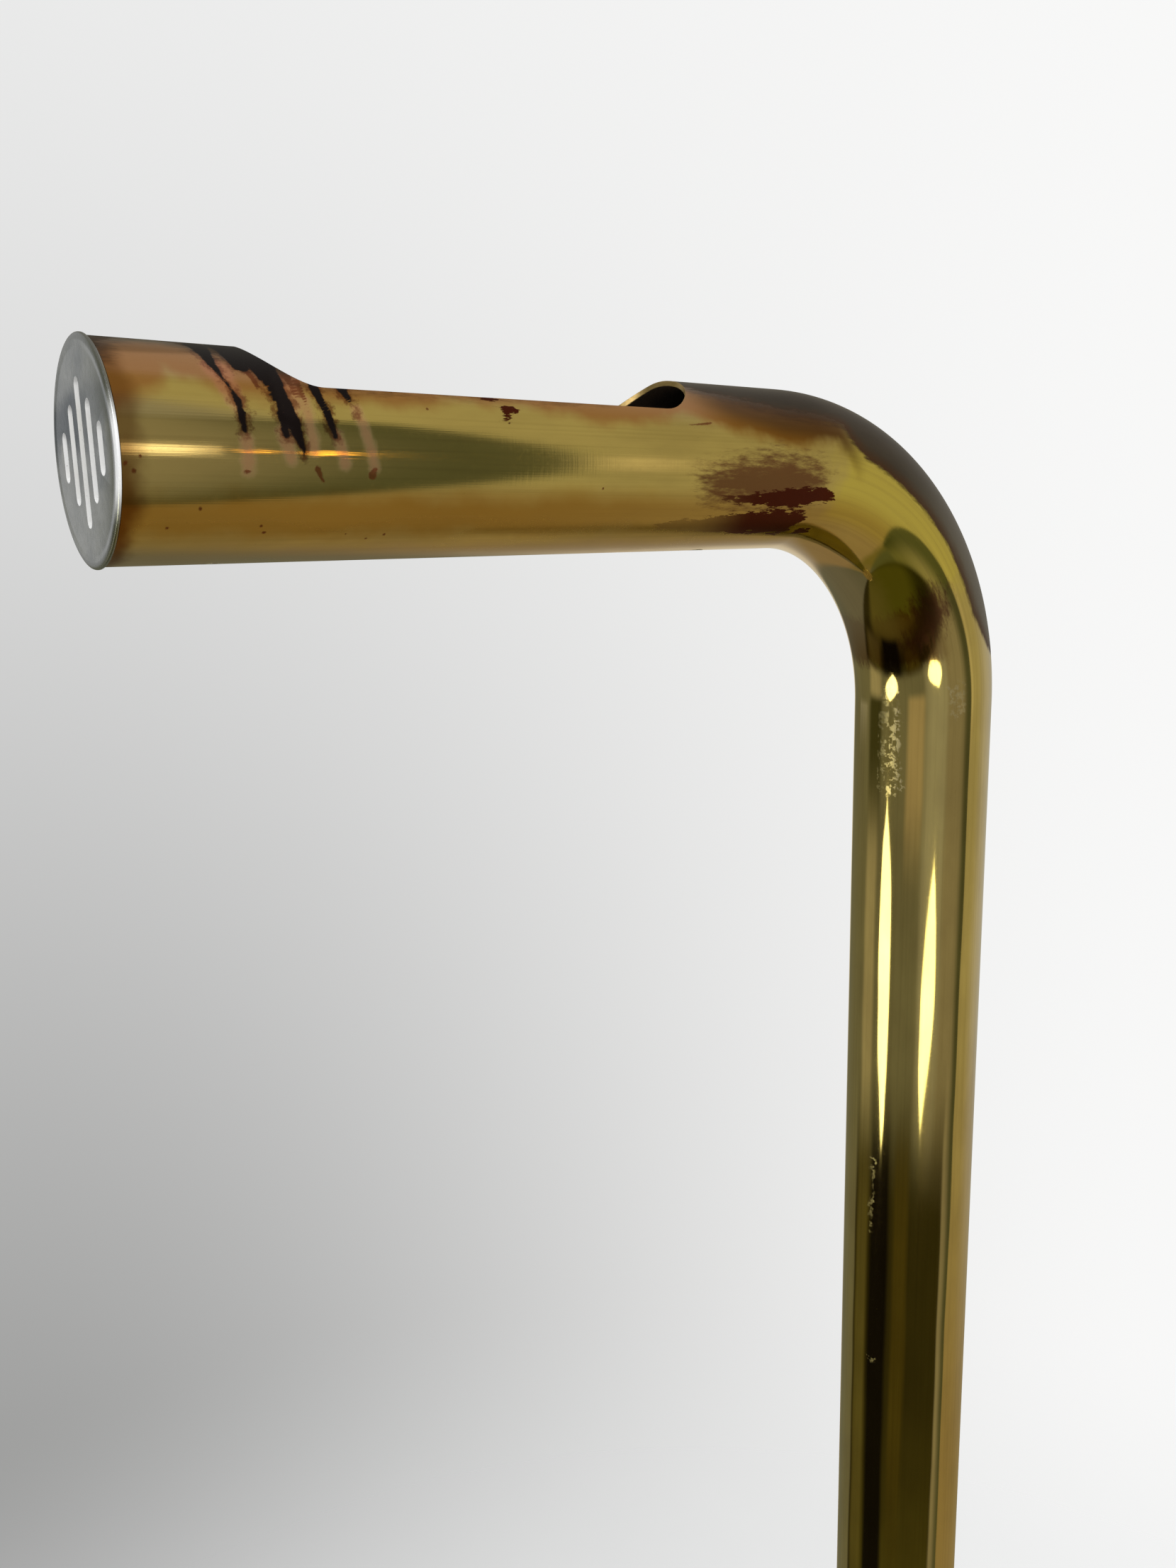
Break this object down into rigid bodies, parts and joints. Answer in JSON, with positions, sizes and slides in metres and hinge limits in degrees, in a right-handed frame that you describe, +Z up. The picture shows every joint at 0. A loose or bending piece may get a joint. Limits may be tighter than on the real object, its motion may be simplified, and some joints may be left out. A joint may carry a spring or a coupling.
{
  "type": "floor lamp",
  "caption": "Tubular brass uplighter floor lamp: a bent tube with a light opening in its arm, a vented end cap, a dimmer knob and a round base.",
  "frame": {"origin": "on the floor under the post's axis, the centre of the base's underside", "axes": "+Z up along the post; the arm points along -X; the dimmer's knob faces -Y"},
  "size_m": [0.4435, 0.28, 1.801],
  "materials": {
    "brass": "brushed and lacquered, heat-stained on the arm, polished on the post",
    "polished_brass": "polished, lacquered",
    "satin_nickel": "satin nickel plate",
    "bright_aluminium": "bright, lightly hammered",
    "zinc_steel": "zinc plated",
    "tungsten": "drawn wire",
    "cast_iron": "as cast, painted black",
    "white_ceramic": "unglazed",
    "quartz_glass": "clear quartz",
    "glass_fibre_sleeve": "woven glass-fibre sleeve",
    "earth_wire_green": "insulated wire",
    "black_lead": "matt sheath",
    "black_plastic": "moulded",
    "dark_felt": "felt"
  },
  "bodies": {
    "lamp": {"bent_tube": "brass", "vent_cap": "satin_nickel", "reflector": "bright_aluminium", "reflector_screw_front": "zinc_steel", "reflector_screw_rear": "zinc_steel", "lamp_tube": "quartz_glass", "lamp_filament": "tungsten", "lamp_end_front": "white_ceramic", "lamp_end_rear": "white_ceramic", "lamp_contact_front": "satin_nickel", "lamp_contact_rear": "satin_nickel", "lampholder_front": "white_ceramic", "lampholder_rear": "white_ceramic", "holder_screw_front": "zinc_steel", "holder_screw_rear": "zinc_steel", "fixed_contact": "zinc_steel", "contact_spring": "zinc_steel", "contact_terminal": "zinc_steel", "chassis_strip": "zinc_steel", "chassis_screw_front": "zinc_steel", "chassis_screw_rear": "zinc_steel", "earth_tag": "satin_nickel", "earth_nut": "zinc_steel", "earth_wire": "earth_wire_green", "terminal_block": "white_ceramic", "terminal_block_screw": "zinc_steel", "lamp_wire_front": "glass_fibre_sleeve", "lamp_wire_rear": "glass_fibre_sleeve", "upper_lead": "black_lead", "lower_lead": "black_lead", "dimmer_body": "black_plastic", "dimmer_bush": "satin_nickel", "dimmer_saddle": "polished_brass", "dimmer_nut": "satin_nickel", "foot_plug": "zinc_steel", "foot_bolt": "zinc_steel", "foot_washer": "zinc_steel", "post_collar": "polished_brass", "base_cover": "polished_brass", "base_weight": "cast_iron", "base_pad": "dark_felt", "base_terminal_block": "black_plastic", "cord_bushing": "black_plastic"},
    "dimmer_control": {"dimmer_knob": "polished_brass", "dimmer_shaft": "zinc_steel", "knob_set_screw": "zinc_steel"},
    "sprung_contact": {"contact_plunger": "zinc_steel"}
  },
  "joints": [
    {"name": "dimmer_turn", "type": "hinge", "parent": "lamp", "child": "dimmer_control", "pos_m": [0, -0.041, 1.1], "axis": [0, 1, 0], "range_deg": [0, 300]},
    {"name": "contact_press", "type": "slide", "parent": "lamp", "child": "sprung_contact", "axis": [1, 0, 0], "range_m": [0, 0.0025], "stiffness_N_per_m": 1500, "springref_m": -0.002, "deforming": ["contact_spring"]}
  ]
}
